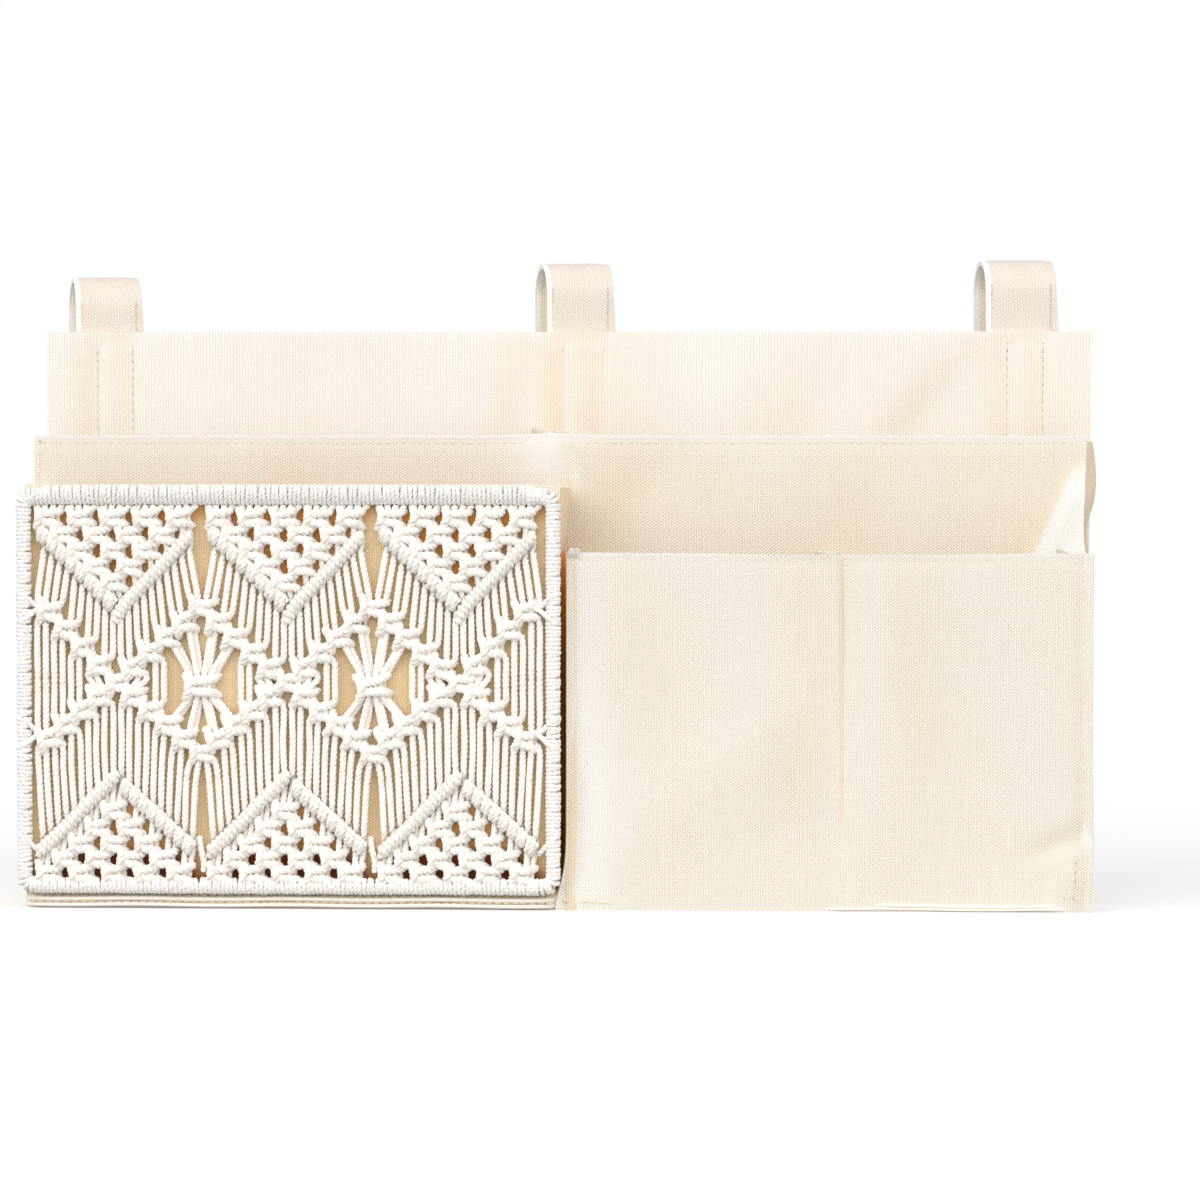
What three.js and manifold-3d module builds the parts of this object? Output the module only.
// Bedside caddy: a canvas organizer with three hanging straps, a full-width middle pocket and two
// front pockets. The left front pocket wears a knotted cord net on a cord-wrapped wire rectangle.
// Millimetres, +Z up, front towards -Y, origin under the middle of the bounding box.

import * as THREE from "three";
import { mergeVertices } from "three/addons/utils/BufferGeometryUtils.js";
import Module from "manifold-3d";

const wasm = await Module();
wasm.setup();

// Driving sizes of the canvas body
const caddyWidth = 400;
const backHeight = 215;
const middleHeight = 175;
const leftHeight = 158;
const rightHeight = 133;
const middleDepth = 25;
const frontDepth = 35;
const leftPocketInset = 2.5;
const leftPocketWidth = 199.5;
const pocketGap = 2.4;
const middleDividerOffset = 2;
const rightDividerShare = 0.52;

// Canvas: one ply, the turned hem, the crease of a side strip and the gap that stands for a seam
const ply = 1;
const hemHeight = 8;
const gussetCrease = 2.5;
const gussetDrop = 2;
const seamGap = 0.3;

// Driving sizes of the straps: folded webbing, hook and loop tape
const strapWidth = 25;
const strapThickness = 1.8;
const strapReach = 28;
const sideStrapInset = 24;
const centreStrapOffset = 7;
const leftLoopRise = 22;
const centreLoopRise = 27;
const rightLoopRise = 28;
const riserDrop = 84;
const tapeWidth = 16;
const tapeThickness = 1.2;
const tapeInset = 2.5;
const hookLength = 38;
const legDrop = 6;
const turnHeight = 28;

// Driving sizes of the cord panel
const frameOverhang = 3;
const frameWidth = leftPocketWidth + frameOverhang;
const frameHeight = 151.5;
const frameLift = 5.5;
const wireDiameter = 3;
const wireCorner = 4;
const boreGap = 0.3;
const wrapDiameter = 5.6;
const larkDiameter = 7;
const hitchDiameter = 6.6;
const ribDepth = 0.8;
const cordDiameter = 2.7;
const knotWidth = 9.4;
const knotHeight = 4.6;
const knotRise = 1.7;
const barDiameter = 5;
const slitWidth = 1.1;
const faceGap = 0.4;
const periods = 3;
const cordsPerPeriod = 20;
const wrapRibs = 12;

// Planes from front to back
const totalDepth = larkDiameter + faceGap + frontDepth + middleDepth + 2 * ply + strapReach;
const frontY = -totalDepth / 2;
const pocketFaceY = frontY + larkDiameter + faceGap;
const middleFaceY = pocketFaceY + frontDepth;
const backFaceY = middleFaceY + middleDepth;
const backRearY = backFaceY + 2 * ply;

// Sides of the body and of the two front pockets
const sideX = caddyWidth / 2;
const leftPocketX = [leftPocketInset - sideX, leftPocketInset - sideX + leftPocketWidth];
const rightPocketX = [leftPocketX[1] + pocketGap, sideX];

const bottomThickness = 2 * ply;
const hemArcSteps = 4;

const finishes = {
  canvas: { color: 0xf6ead2, roughness: 0.95, metalness: 0 },
  webbing: { color: 0xf3e7cf, roughness: 0.95, metalness: 0 },
  tape: { color: 0xefe3cc, roughness: 1, metalness: 0 },
  cord: { color: 0xfbf8f2, roughness: 0.9, metalness: 0 },
  wire: { color: 0x9a9da1, roughness: 0.35, metalness: 1 },
};

const caddy = new THREE.Group();

function add(name, geometry, finish) {
  const material = new THREE.MeshStandardMaterial(finishes[finish]);
  const mesh = new THREE.Mesh(geometry, material);
  mesh.name = name;
  caddy.add(mesh);
}

// Prisms: an outline drawn in one plane of the caddy is carried along the third axis
const xAxis = new THREE.Vector3(1, 0, 0);
const yAxis = new THREE.Vector3(0, 1, 0);
const zAxis = new THREE.Vector3(0, 0, 1);

function prism(outline, length, holes = []) {
  const shape = new THREE.Shape(outline.map(([u, v]) => new THREE.Vector2(u, v)));
  shape.holes = holes.map((hole) => new THREE.Path(hole.map(([u, v]) => new THREE.Vector2(u, v))));
  return new THREE.ExtrudeGeometry(shape, { depth: length, steps: 1, bevelEnabled: false });
}

function prismX(outlineYZ, fromX, toX) {
  const turn = new THREE.Matrix4().makeBasis(yAxis, zAxis, xAxis);
  return prism(outlineYZ, toX - fromX).applyMatrix4(turn).translate(fromX, 0, 0);
}

function prismY(outlineXZ, fromY, toY, holes) {
  const turn = new THREE.Matrix4().makeBasis(xAxis, zAxis, yAxis.clone().negate());
  return prism(outlineXZ, toY - fromY, holes).applyMatrix4(turn).translate(0, toY, 0);
}

function prismZ(outlineXY, fromZ, toZ) {
  return prism(outlineXY, toZ - fromZ).translate(0, 0, fromZ);
}

function rectangle(left, right, low, high) {
  return [[left, low], [right, low], [right, high], [left, high]];
}

// Canvas body

// Section of a hemmed panel: its top edge is turned over and lies double for the hem's height
function hemSection(outer, inward, bottomZ, topZ) {
  const inner = outer + inward * ply;
  const folded = inner + inward * ply;
  const crownZ = topZ - ply;
  const points = [[outer, bottomZ], [outer, crownZ]];
  for (let step = 1; step < hemArcSteps; step += 1) {
    const angle = (Math.PI * step) / hemArcSteps;
    points.push([inner - inward * ply * Math.cos(angle), crownZ + ply * Math.sin(angle)]);
  }
  points.push([folded, crownZ], [folded, topZ - hemHeight]);
  points.push([inner, topZ - hemHeight - ply], [inner, bottomZ]);
  return points;
}

// Plan of a side strip: a soft crease runs down its middle, so that the pocket can fold flat
function gussetPlan(outer, inward, frontEdge, rearEdge) {
  const middle = (frontEdge + rearEdge) / 2;
  const crease = outer + inward * gussetCrease;
  return [
    [outer, frontEdge],
    [crease, middle],
    [outer, rearEdge],
    [outer + inward * ply, rearEdge],
    [crease + inward * ply, middle],
    [outer + inward * ply, frontEdge],
  ];
}

// One box pocket: hemmed face, two creased side strips and a bottom, sewn to the panel behind it
function pocket(name, [leftX, rightX], faceY, panelY, height) {
  const frontEdge = faceY + 2 * ply + seamGap;
  const rearEdge = panelY - seamGap;
  const strips = { left: [leftX, 1], right: [rightX, -1] };
  add(`${name}_front`, prismX(hemSection(faceY, 1, 0, height), leftX, rightX), "canvas");
  for (const [side, [outer, inward]] of Object.entries(strips)) {
    const plan = gussetPlan(outer, inward, frontEdge, rearEdge);
    add(`${name}_gusset_${side}`, prismZ(plan, 0, height - gussetDrop), "canvas");
  }
  const inset = gussetCrease + ply + seamGap;
  const floor = rectangle(leftX + inset, rightX - inset, frontEdge, rearEdge);
  add(`${name}_bottom`, prismZ(floor, 0, bottomThickness), "canvas");
}

// An inner divider stands across a pocket and is hemmed at its top like the pocket's face
function divider(name, centreX, faceY, panelY, height) {
  const section = hemSection(centreX - ply / 2, 1, bottomThickness + seamGap, height - gussetDrop);
  add(name, prismY(section, faceY + 2 * ply + seamGap, panelY - seamGap), "canvas");
}

// The back panel is two plies, turned in on each other along the top
function backPanel() {
  const crownZ = backHeight - ply;
  const points = [[backRearY, 0], [backRearY, crownZ]];
  for (let step = 1; step < hemArcSteps; step += 1) {
    const angle = (Math.PI * step) / hemArcSteps;
    points.push([backFaceY + ply + ply * Math.cos(angle), crownZ + ply * Math.sin(angle)]);
  }
  points.push([backFaceY, crownZ], [backFaceY, 0]);
  add("back_panel", prismX(points, -sideX, sideX), "canvas");
}

backPanel();
pocket("middle_pocket", [-sideX, sideX], middleFaceY, backFaceY, middleHeight);
divider("middle_pocket_divider", middleDividerOffset, middleFaceY, backFaceY, middleHeight);
pocket("left_pocket", leftPocketX, pocketFaceY, middleFaceY, leftHeight);
pocket("right_pocket", rightPocketX, pocketFaceY, middleFaceY, rightHeight);
const rightDividerX = THREE.MathUtils.lerp(rightPocketX[0], rightPocketX[1], rightDividerShare);
divider("right_pocket_divider", rightDividerX, pocketFaceY, middleFaceY, rightHeight);

// Straps: each is a length of folded webbing, divided at its crown where it bends open

const crownSteps = 8;
const turnSteps = 6;
const riserY = backRearY + seamGap + strapThickness / 2;
const crownRadius = (strapReach - seamGap - strapThickness) / 2;
const crownY = riserY + crownRadius;
const loopTapeY = riserY + strapThickness / 2 + seamGap;
const hookTapeY = loopTapeY + tapeThickness + seamGap;
const tailY = hookTapeY + tapeThickness + seamGap + strapThickness / 2;
const strapEndZ = backHeight - riserDrop;

// Both sides of a band of even thickness that follows a line
function bandOutline(line, thickness) {
  const near = [];
  const far = [];
  line.forEach(([u, v], index) => {
    const before = line[Math.max(index - 1, 0)];
    const after = line[Math.min(index + 1, line.length - 1)];
    const along = new THREE.Vector2(after[0] - before[0], after[1] - before[1]).normalize();
    const shift = along.multiplyScalar(thickness / 2);
    near.push([u - shift.y, v + shift.x]);
    far.unshift([u + shift.y, v - shift.x]);
  });
  return [...near, ...far];
}

// A quarter of the crown, from one angle to the other, counted from the rear and upwards
function crownArc(crownZ, fromAngle, toAngle) {
  const points = [];
  for (let step = 0; step <= crownSteps; step += 1) {
    const angle = THREE.MathUtils.lerp(fromAngle, toAngle, step / crownSteps);
    points.push([crownY + crownRadius * Math.cos(angle), crownZ + crownRadius * Math.sin(angle)]);
  }
  return points;
}

function strap(side, centreX, rise) {
  const crownZ = backHeight + rise - strapThickness / 2 - crownRadius;
  const halfGapAngle = seamGap / 2 / crownRadius;
  const top = Math.PI / 2;
  const [fromX, toX] = [centreX - strapWidth / 2, centreX + strapWidth / 2];

  const riser = [[riserY, strapEndZ], ...crownArc(crownZ, Math.PI, top + halfGapAngle)];
  add(`strap_riser_${side}`, prismX(bandOutline(riser, strapThickness), fromX, toX), "webbing");

  const tail = crownArc(crownZ, top - halfGapAngle, 0);
  const legZ = backHeight - legDrop;
  const rearY = crownY + crownRadius;
  for (let step = 0; step <= turnSteps; step += 1) {
    const ease = (1 - Math.cos((Math.PI * step) / turnSteps)) / 2;
    tail.push([THREE.MathUtils.lerp(rearY, tailY, ease), legZ - (turnHeight * step) / turnSteps]);
  }
  tail.push([tailY, strapEndZ]);
  add(`strap_tail_${side}`, prismX(bandOutline(tail, strapThickness), fromX, toX), "webbing");

  const [tapeFrom, tapeTo] = [centreX - tapeWidth / 2, centreX + tapeWidth / 2];
  const tapeLow = strapEndZ + tapeInset;
  const loopTape = rectangle(tapeFrom, tapeTo, tapeLow, backHeight - tapeInset);
  add(`loop_patch_${side}`, prismY(loopTape, loopTapeY, loopTapeY + tapeThickness), "tape");
  const hookTape = rectangle(tapeFrom, tapeTo, tapeLow, tapeLow + hookLength);
  add(`hook_patch_${side}`, prismY(hookTape, hookTapeY, hookTapeY + tapeThickness), "tape");
}

strap("left", sideStrapInset - sideX, leftLoopRise);
strap("centre", centreStrapOffset, centreLoopRise);
strap("right", sideX - sideStrapInset, rightLoopRise);

// Wire rectangle of the cord panel

const wireLeft = wrapDiameter / 2 - sideX;
const wireRight = frameWidth - wrapDiameter / 2 - sideX;
const wireTop = frameLift + frameHeight - larkDiameter / 2;
const wireBottom = frameLift + hitchDiameter / 2;
const wireY = frontY + larkDiameter / 2;
const wireSides = 8;
const cornerSteps = 4;

// A closed skin over rings of points, in which the last ring joins the first
function ringSkin(rings) {
  const sides = rings[0].length;
  const faces = [];
  rings.forEach((_, ring) => {
    const next = (ring + 1) % rings.length;
    for (let side = 0; side < sides; side += 1) {
      const beside = (side + 1) % sides;
      const [a, b] = [ring * sides + side, ring * sides + beside];
      const [c, d] = [next * sides + side, next * sides + beside];
      faces.push(a, b, c, b, d, c);
    }
  });
  const geometry = new THREE.BufferGeometry();
  geometry.setAttribute("position", new THREE.Float32BufferAttribute(rings.flat(2), 3));
  geometry.setIndex(faces);
  geometry.computeVertexNormals();
  return geometry;
}

function wireRectangle() {
  const corners = [
    [wireRight - wireCorner, wireTop - wireCorner],
    [wireLeft + wireCorner, wireTop - wireCorner],
    [wireLeft + wireCorner, wireBottom + wireCorner],
    [wireRight - wireCorner, wireBottom + wireCorner],
  ];
  const rings = [];
  corners.forEach(([centreX, centreZ], quarter) => {
    for (let step = 0; step <= cornerSteps; step += 1) {
      const turn = (Math.PI / 2) * (quarter + step / cornerSteps);
      const ring = [];
      for (let side = 0; side < wireSides; side += 1) {
        const around = (2 * Math.PI * side) / wireSides;
        const reach = wireCorner + (wireDiameter / 2) * Math.cos(around);
        const y = wireY + (wireDiameter / 2) * Math.sin(around);
        ring.push([centreX + reach * Math.cos(turn), y, centreZ + reach * Math.sin(turn)]);
      }
      rings.push(ring);
    }
  });
  return ringSkin(rings);
}

add("frame_wire", wireRectangle(), "wire");

// Cord wound on the wire: a sleeve along X with a bore for the wire and one rib for each turn
// shown. The two edges next to the net can be left plain, where its cords grow out of them.
const bore = wireDiameter / 2 + boreGap;
const sleeveSides = 6;

function sleeve(length, ribs, diameter, netSidePlain) {
  const crest = diameter / 2;
  const valley = crest - ribDepth;
  const pitch = length / ribs;
  const ringAt = (x, radius) => {
    const ring = [];
    for (let side = 0; side < sleeveSides; side += 1) {
      const around = (2 * Math.PI * (side + 1 / 2)) / sleeveSides;
      const besideNet = side === 0 || side === sleeveSides - 1;
      const reach = netSidePlain && besideNet && radius !== bore ? crest : radius;
      ring.push([x, reach * Math.sin(around), reach * Math.cos(around)]);
    }
    return ring;
  };
  const rings = [ringAt(0, bore), ringAt(0, valley)];
  for (let rib = 0; rib < ribs; rib += 1) {
    rings.push(ringAt((rib + 1 / 2) * pitch, crest), ringAt((rib + 1) * pitch, valley));
  }
  rings.push(ringAt(length, bore));
  return ringSkin(rings.reverse());
}

const sideSleeveLength = wireTop - wireBottom - 2 * wireCorner;
for (const [side, x] of [["left", wireLeft], ["right", wireRight]]) {
  const wrap = sleeve(sideSleeveLength, wrapRibs, wrapDiameter, false);
  wrap.rotateY(-Math.PI / 2).translate(x, wireY, wireBottom + wireCorner);
  add(`frame_wrap_${side}`, wrap, "cord");
}

// Cord net: triangles of square knots hang from the top wire and stand on the bottom wire, each
// edged by two slanting bars. Two zigzag bands of knots cross between them and leave diamonds,
// whose cords are drawn together in a gathering knot.

const netLeft = wireLeft + wrapDiameter / 2;
const netRight = wireRight - wrapDiameter / 2;
const netTop = wireTop - larkDiameter / 2;
const netBottom = wireBottom + hitchDiameter / 2;
const netHeight = netTop - netBottom;
const period = (netRight - netLeft) / periods;
const cordPitch = period / cordsPerPeriod;
const halfCords = cordsPerPeriod / 2;
const larkHeads = (periods * cordsPerPeriod) / 2;
const slabFront = wireY - cordDiameter / 2;
const slabBack = wireY + cordDiameter / 2;

// Heights of the pattern's features, as shares of the net's height, counted from its top
const crossingShare = 0.473;
const gatherShare = 0.484;
const upper = { barEndShare: 0.075, apexShare: 0.278, peakShare: 0.27, rowShare: 0.036, stepShare: 0.043 };
const lower = { barEndShare: 0.905, apexShare: 0.733, peakShare: 0.668, rowShare: 0.975, stepShare: -0.04 };
const triangleRows = 5;
const barReachShare = 0.94;
const frustumShare = 0.62;

const level = (share) => netTop - share * netHeight;
const lerp = THREE.MathUtils.lerp;

// Heights of the bar and of the zigzag band at a distance of some cords from a triangle's middle
const barLevel = (half, cords) => level(lerp(half.apexShare, half.barEndShare, cords / halfCords));
const bandLevel = (half, cords) => level(lerp(crossingShare, half.peakShare, cords / halfCords));

// A slit between two cords: it opens from both ends towards its middle
function slit(topX, topZ, lowX, lowZ, width = slitWidth) {
  const middleX = (topX + lowX) / 2;
  const middleZ = (topZ + lowZ) / 2;
  return [[topX, topZ], [middleX + width / 2, middleZ], [lowX, lowZ], [middleX - width / 2, middleZ]];
}

const halfKnot = knotHeight / 2;
const barShadow = barDiameter * Math.SQRT1_2;
const slantShare = 0.16;
const looseCords = 5;

function netGaps() {
  const gaps = [];
  for (let k = 0; k < periods; k += 1) {
    const centreX = netLeft + (k + 1 / 2) * period;
    for (let cords = 1 - halfCords; cords < halfCords; cords += 1) {
      const away = Math.abs(cords);
      const x = centreX + cords * cordPitch;
      const upperBand = bandLevel(upper, away);
      const lowerBand = bandLevel(lower, away);
      const upperBar = barLevel(upper, away) - barShadow;
      const lowerBar = barLevel(lower, away) + barShadow;
      if (away < halfCords - 2) {
        const slant = cords > 0 ? slantShare * (upperBar - upperBand) : 0;
        gaps.push(slit(x - slant / 2, upperBar, x + slant / 2, upperBand + halfKnot));
        gaps.push(slit(x, lowerBand - halfKnot, x, lowerBar));
      }
      if (away > 2 && away <= looseCords) {
        gaps.push(slit(x, upperBand - halfKnot, x, lowerBand + halfKnot));
      }
    }
  }
  return gaps;
}

// Gaps on the columns where two triangles meet: beside the triangles and inside the diamonds
function columnGaps() {
  const gaps = [];
  const gatherZ = level(gatherShare);
  const reach = knotHeight + halfKnot;
  for (let k = 1; k < periods; k += 1) {
    const x = netLeft + k * period;
    for (const [half, edgeZ] of [[upper, netTop], [lower, netBottom]]) {
      const inwards = Math.sign(gatherZ - edgeZ);
      const foot = edgeZ + inwards * cordPitch / 2;
      const point = level(half.peakShare) - inwards * (halfKnot + cordPitch / 2);
      const wideZ = barLevel(half, halfCords);
      const ring = [[x, foot], [x + cordPitch, wideZ], [x, point], [x - cordPitch, wideZ]];
      gaps.push(ring);
      gaps.push(slit(x, level(half.peakShare) + inwards * reach, x, gatherZ - inwards * reach));
    }
    for (const side of [-1, 1]) {
      const outerX = x + side * (halfCords - looseCords - 1 / 2) * cordPitch;
      const innerX = x + side * (looseCords / 2) * cordPitch;
      const highZ = bandLevel(upper, looseCords + 1) - reach;
      const lowZ = bandLevel(lower, looseCords + 1) + reach;
      const midOuter = outerX + side * cordPitch / 4;
      gaps.push([[outerX, highZ], [innerX, gatherZ], [outerX, lowZ], [midOuter, gatherZ]]);
    }
  }
  return gaps;
}

// Small openings between the knots of the widest rows of each triangle
function rowGaps() {
  const gaps = [];
  const openRows = 1;
  const openShare = 0.45;
  for (let k = 0; k < periods; k += 1) {
    const centreX = netLeft + (k + 1 / 2) * period;
    for (const half of [upper, lower]) {
      for (let row = 0; row < openRows; row += 1) {
        const z = level(half.rowShare + row * half.stepShare);
        const count = triangleRows - 1 - row;
        for (let hole = 0; hole < count; hole += 1) {
          const x = centreX + (hole - (count - 1) / 2) * 4 * cordPitch;
          const tall = halfKnot * (1 - openShare);
          gaps.push(slit(x, z + tall, x, z - tall, cordPitch * openShare));
        }
      }
    }
  }
  return gaps;
}

// Outline of the net: it stands clear of the side wires and reaches them only at its ties
function netOutline() {
  const inset = cordPitch;
  const tieHeight = cordDiameter + seamGap;
  const tieShares = [upper.peakShare, lower.peakShare, lower.barEndShare];
  const embed = (bore + hitchDiameter / 2) * Math.cos(Math.PI / sleeveSides) / 2;
  const embedTop = (bore + larkDiameter / 2) * Math.cos(Math.PI / sleeveSides) / 2;
  const side = [[inset, wireTop - embedTop]];
  for (const share of tieShares) {
    const z = level(share);
    side.push([inset, z + tieHeight], [seamGap, z + tieHeight / 2]);
    side.push([seamGap, z - tieHeight / 2], [inset, z - tieHeight]);
  }
  side.push([inset, wireBottom + embed]);
  const leftSide = side.map(([x, z]) => [netLeft + x, z]);
  const rightSide = side.map(([x, z]) => [netRight - x, z]).reverse();
  return [...leftSide, ...rightSide];
}

// A square knot stands proud of the cords as a low pad with slanting sides
function knotPad(x, z, width = knotWidth, height = knotHeight) {
  const backY = wireY;
  const frontFace = slabFront - knotRise;
  const pad = new THREE.BoxGeometry(width, backY - frontFace, height);
  const spots = pad.attributes.position;
  for (let index = 0; index < spots.count; index += 1) {
    const share = spots.getY(index) < 0 ? frustumShare : 1;
    spots.setX(index, spots.getX(index) * share);
    spots.setZ(index, spots.getZ(index) * share);
  }
  return pad.translate(x, (backY + frontFace) / 2, z);
}

function knots() {
  const pads = [];
  const pairPitch = 4 * cordPitch;
  for (let k = 0; k < periods; k += 1) {
    const centreX = netLeft + (k + 1 / 2) * period;
    for (const half of [upper, lower]) {
      for (let row = 0; row < triangleRows; row += 1) {
        const z = level(half.rowShare + row * half.stepShare);
        const count = triangleRows - row;
        for (let knot = 0; knot < count; knot += 1) {
          pads.push(knotPad(centreX + (knot - (count - 1) / 2) * pairPitch, z));
        }
      }
      for (let step = 2 - halfCords; step < halfCords; step += 2) {
        if (half === upper || step !== 0) {
          const z = bandLevel(half, Math.abs(step));
          pads.push(knotPad(centreX + step * cordPitch, z, knotWidth * frustumShare));
        }
      }
    }
  }
  for (let k = 1; k < periods; k += 1) {
    const x = netLeft + k * period;
    pads.push(knotPad(x, level(upper.peakShare)), knotPad(x, level(lower.peakShare)));
    pads.push(knotPad(x, level(gatherShare), 4 * cordPitch, knotHeight + cordDiameter));
  }
  return pads;
}

// The two bars along a triangle's slanting edges; the hitched one shows its turns as ribs
function bars() {
  const rolls = [];
  const barSides = 5;
  const barRibs = 2;
  for (let k = 0; k < periods; k += 1) {
    const centreX = netLeft + (k + 1 / 2) * period;
    for (const half of [upper, lower]) {
      for (const side of [-1, 1]) {
        const hitched = half === upper ? side < 0 : side > 0;
        const radius = barDiameter / 2;
        const run = side * barReachShare * halfCords * cordPitch;
        const rise = barLevel(half, barReachShare * halfCords) - level(half.apexShare);
        const length = Math.hypot(run, rise);
        const profile = [new THREE.Vector2(0, 0)];
        const ribs = hitched ? barRibs : 1;
        for (let rib = 0; rib < ribs; rib += 1) {
          const from = (length * rib) / ribs;
          const to = (length * (rib + 1)) / ribs;
          profile.push(new THREE.Vector2(radius, lerp(from, to, frustumShare / 4)));
          profile.push(new THREE.Vector2(radius, lerp(to, from, frustumShare / 4)));
          if (hitched && rib < ribs - 1) profile.push(new THREE.Vector2(radius - ribDepth, to));
        }
        profile.push(new THREE.Vector2(0, length));
        const roll = new THREE.LatheGeometry(profile, barSides);
        const lean = new THREE.Quaternion().setFromUnitVectors(
          yAxis, new THREE.Vector3(run, 0, rise).normalize());
        roll.applyQuaternion(lean).translate(centreX, frontY + radius, level(half.apexShare));
        rolls.push(roll);
      }
    }
  }
  return rolls;
}

function toSolid(geometry) {
  const bare = geometry.clone();
  bare.deleteAttribute("normal");
  bare.deleteAttribute("uv");
  const merged = mergeVertices(bare, cordDiameter / 1e5);
  return new wasm.Manifold(new wasm.Mesh({
    numProp: 3,
    vertProperties: new Float32Array(merged.attributes.position.array),
    triVerts: new Uint32Array(merged.index.array),
  }));
}

function toGeometry(solid) {
  const mesh = solid.getMesh();
  const geometry = new THREE.BufferGeometry();
  geometry.setAttribute("position", new THREE.Float32BufferAttribute(mesh.vertProperties, 3));
  geometry.setIndex(Array.from(mesh.triVerts));
  geometry.computeVertexNormals();
  return geometry;
}

function net() {
  const gaps = [...netGaps(), ...columnGaps(), ...rowGaps()];
  console.log(`net gaps: ${gaps.length}`);
  let solid = toSolid(prismY(netOutline(), slabFront, slabBack, gaps));
  for (const piece of [...bars(), ...knots()]) solid = solid.add(toSolid(piece));
  const rowLength = wireRight - wireLeft - 2 * wireCorner;
  const rows = [[wireTop, larkDiameter, Math.PI], [wireBottom, hitchDiameter, 0]];
  for (const [z, diameter, turn] of rows) {
    const row = sleeve(rowLength, larkHeads, diameter, true);
    row.rotateX(turn).translate(wireLeft + wireCorner, wireY, z);
    solid = solid.add(toSolid(row));
  }
  return toGeometry(solid.asOriginal());
}

add("macrame_net", net(), "cord");

export default caddy;
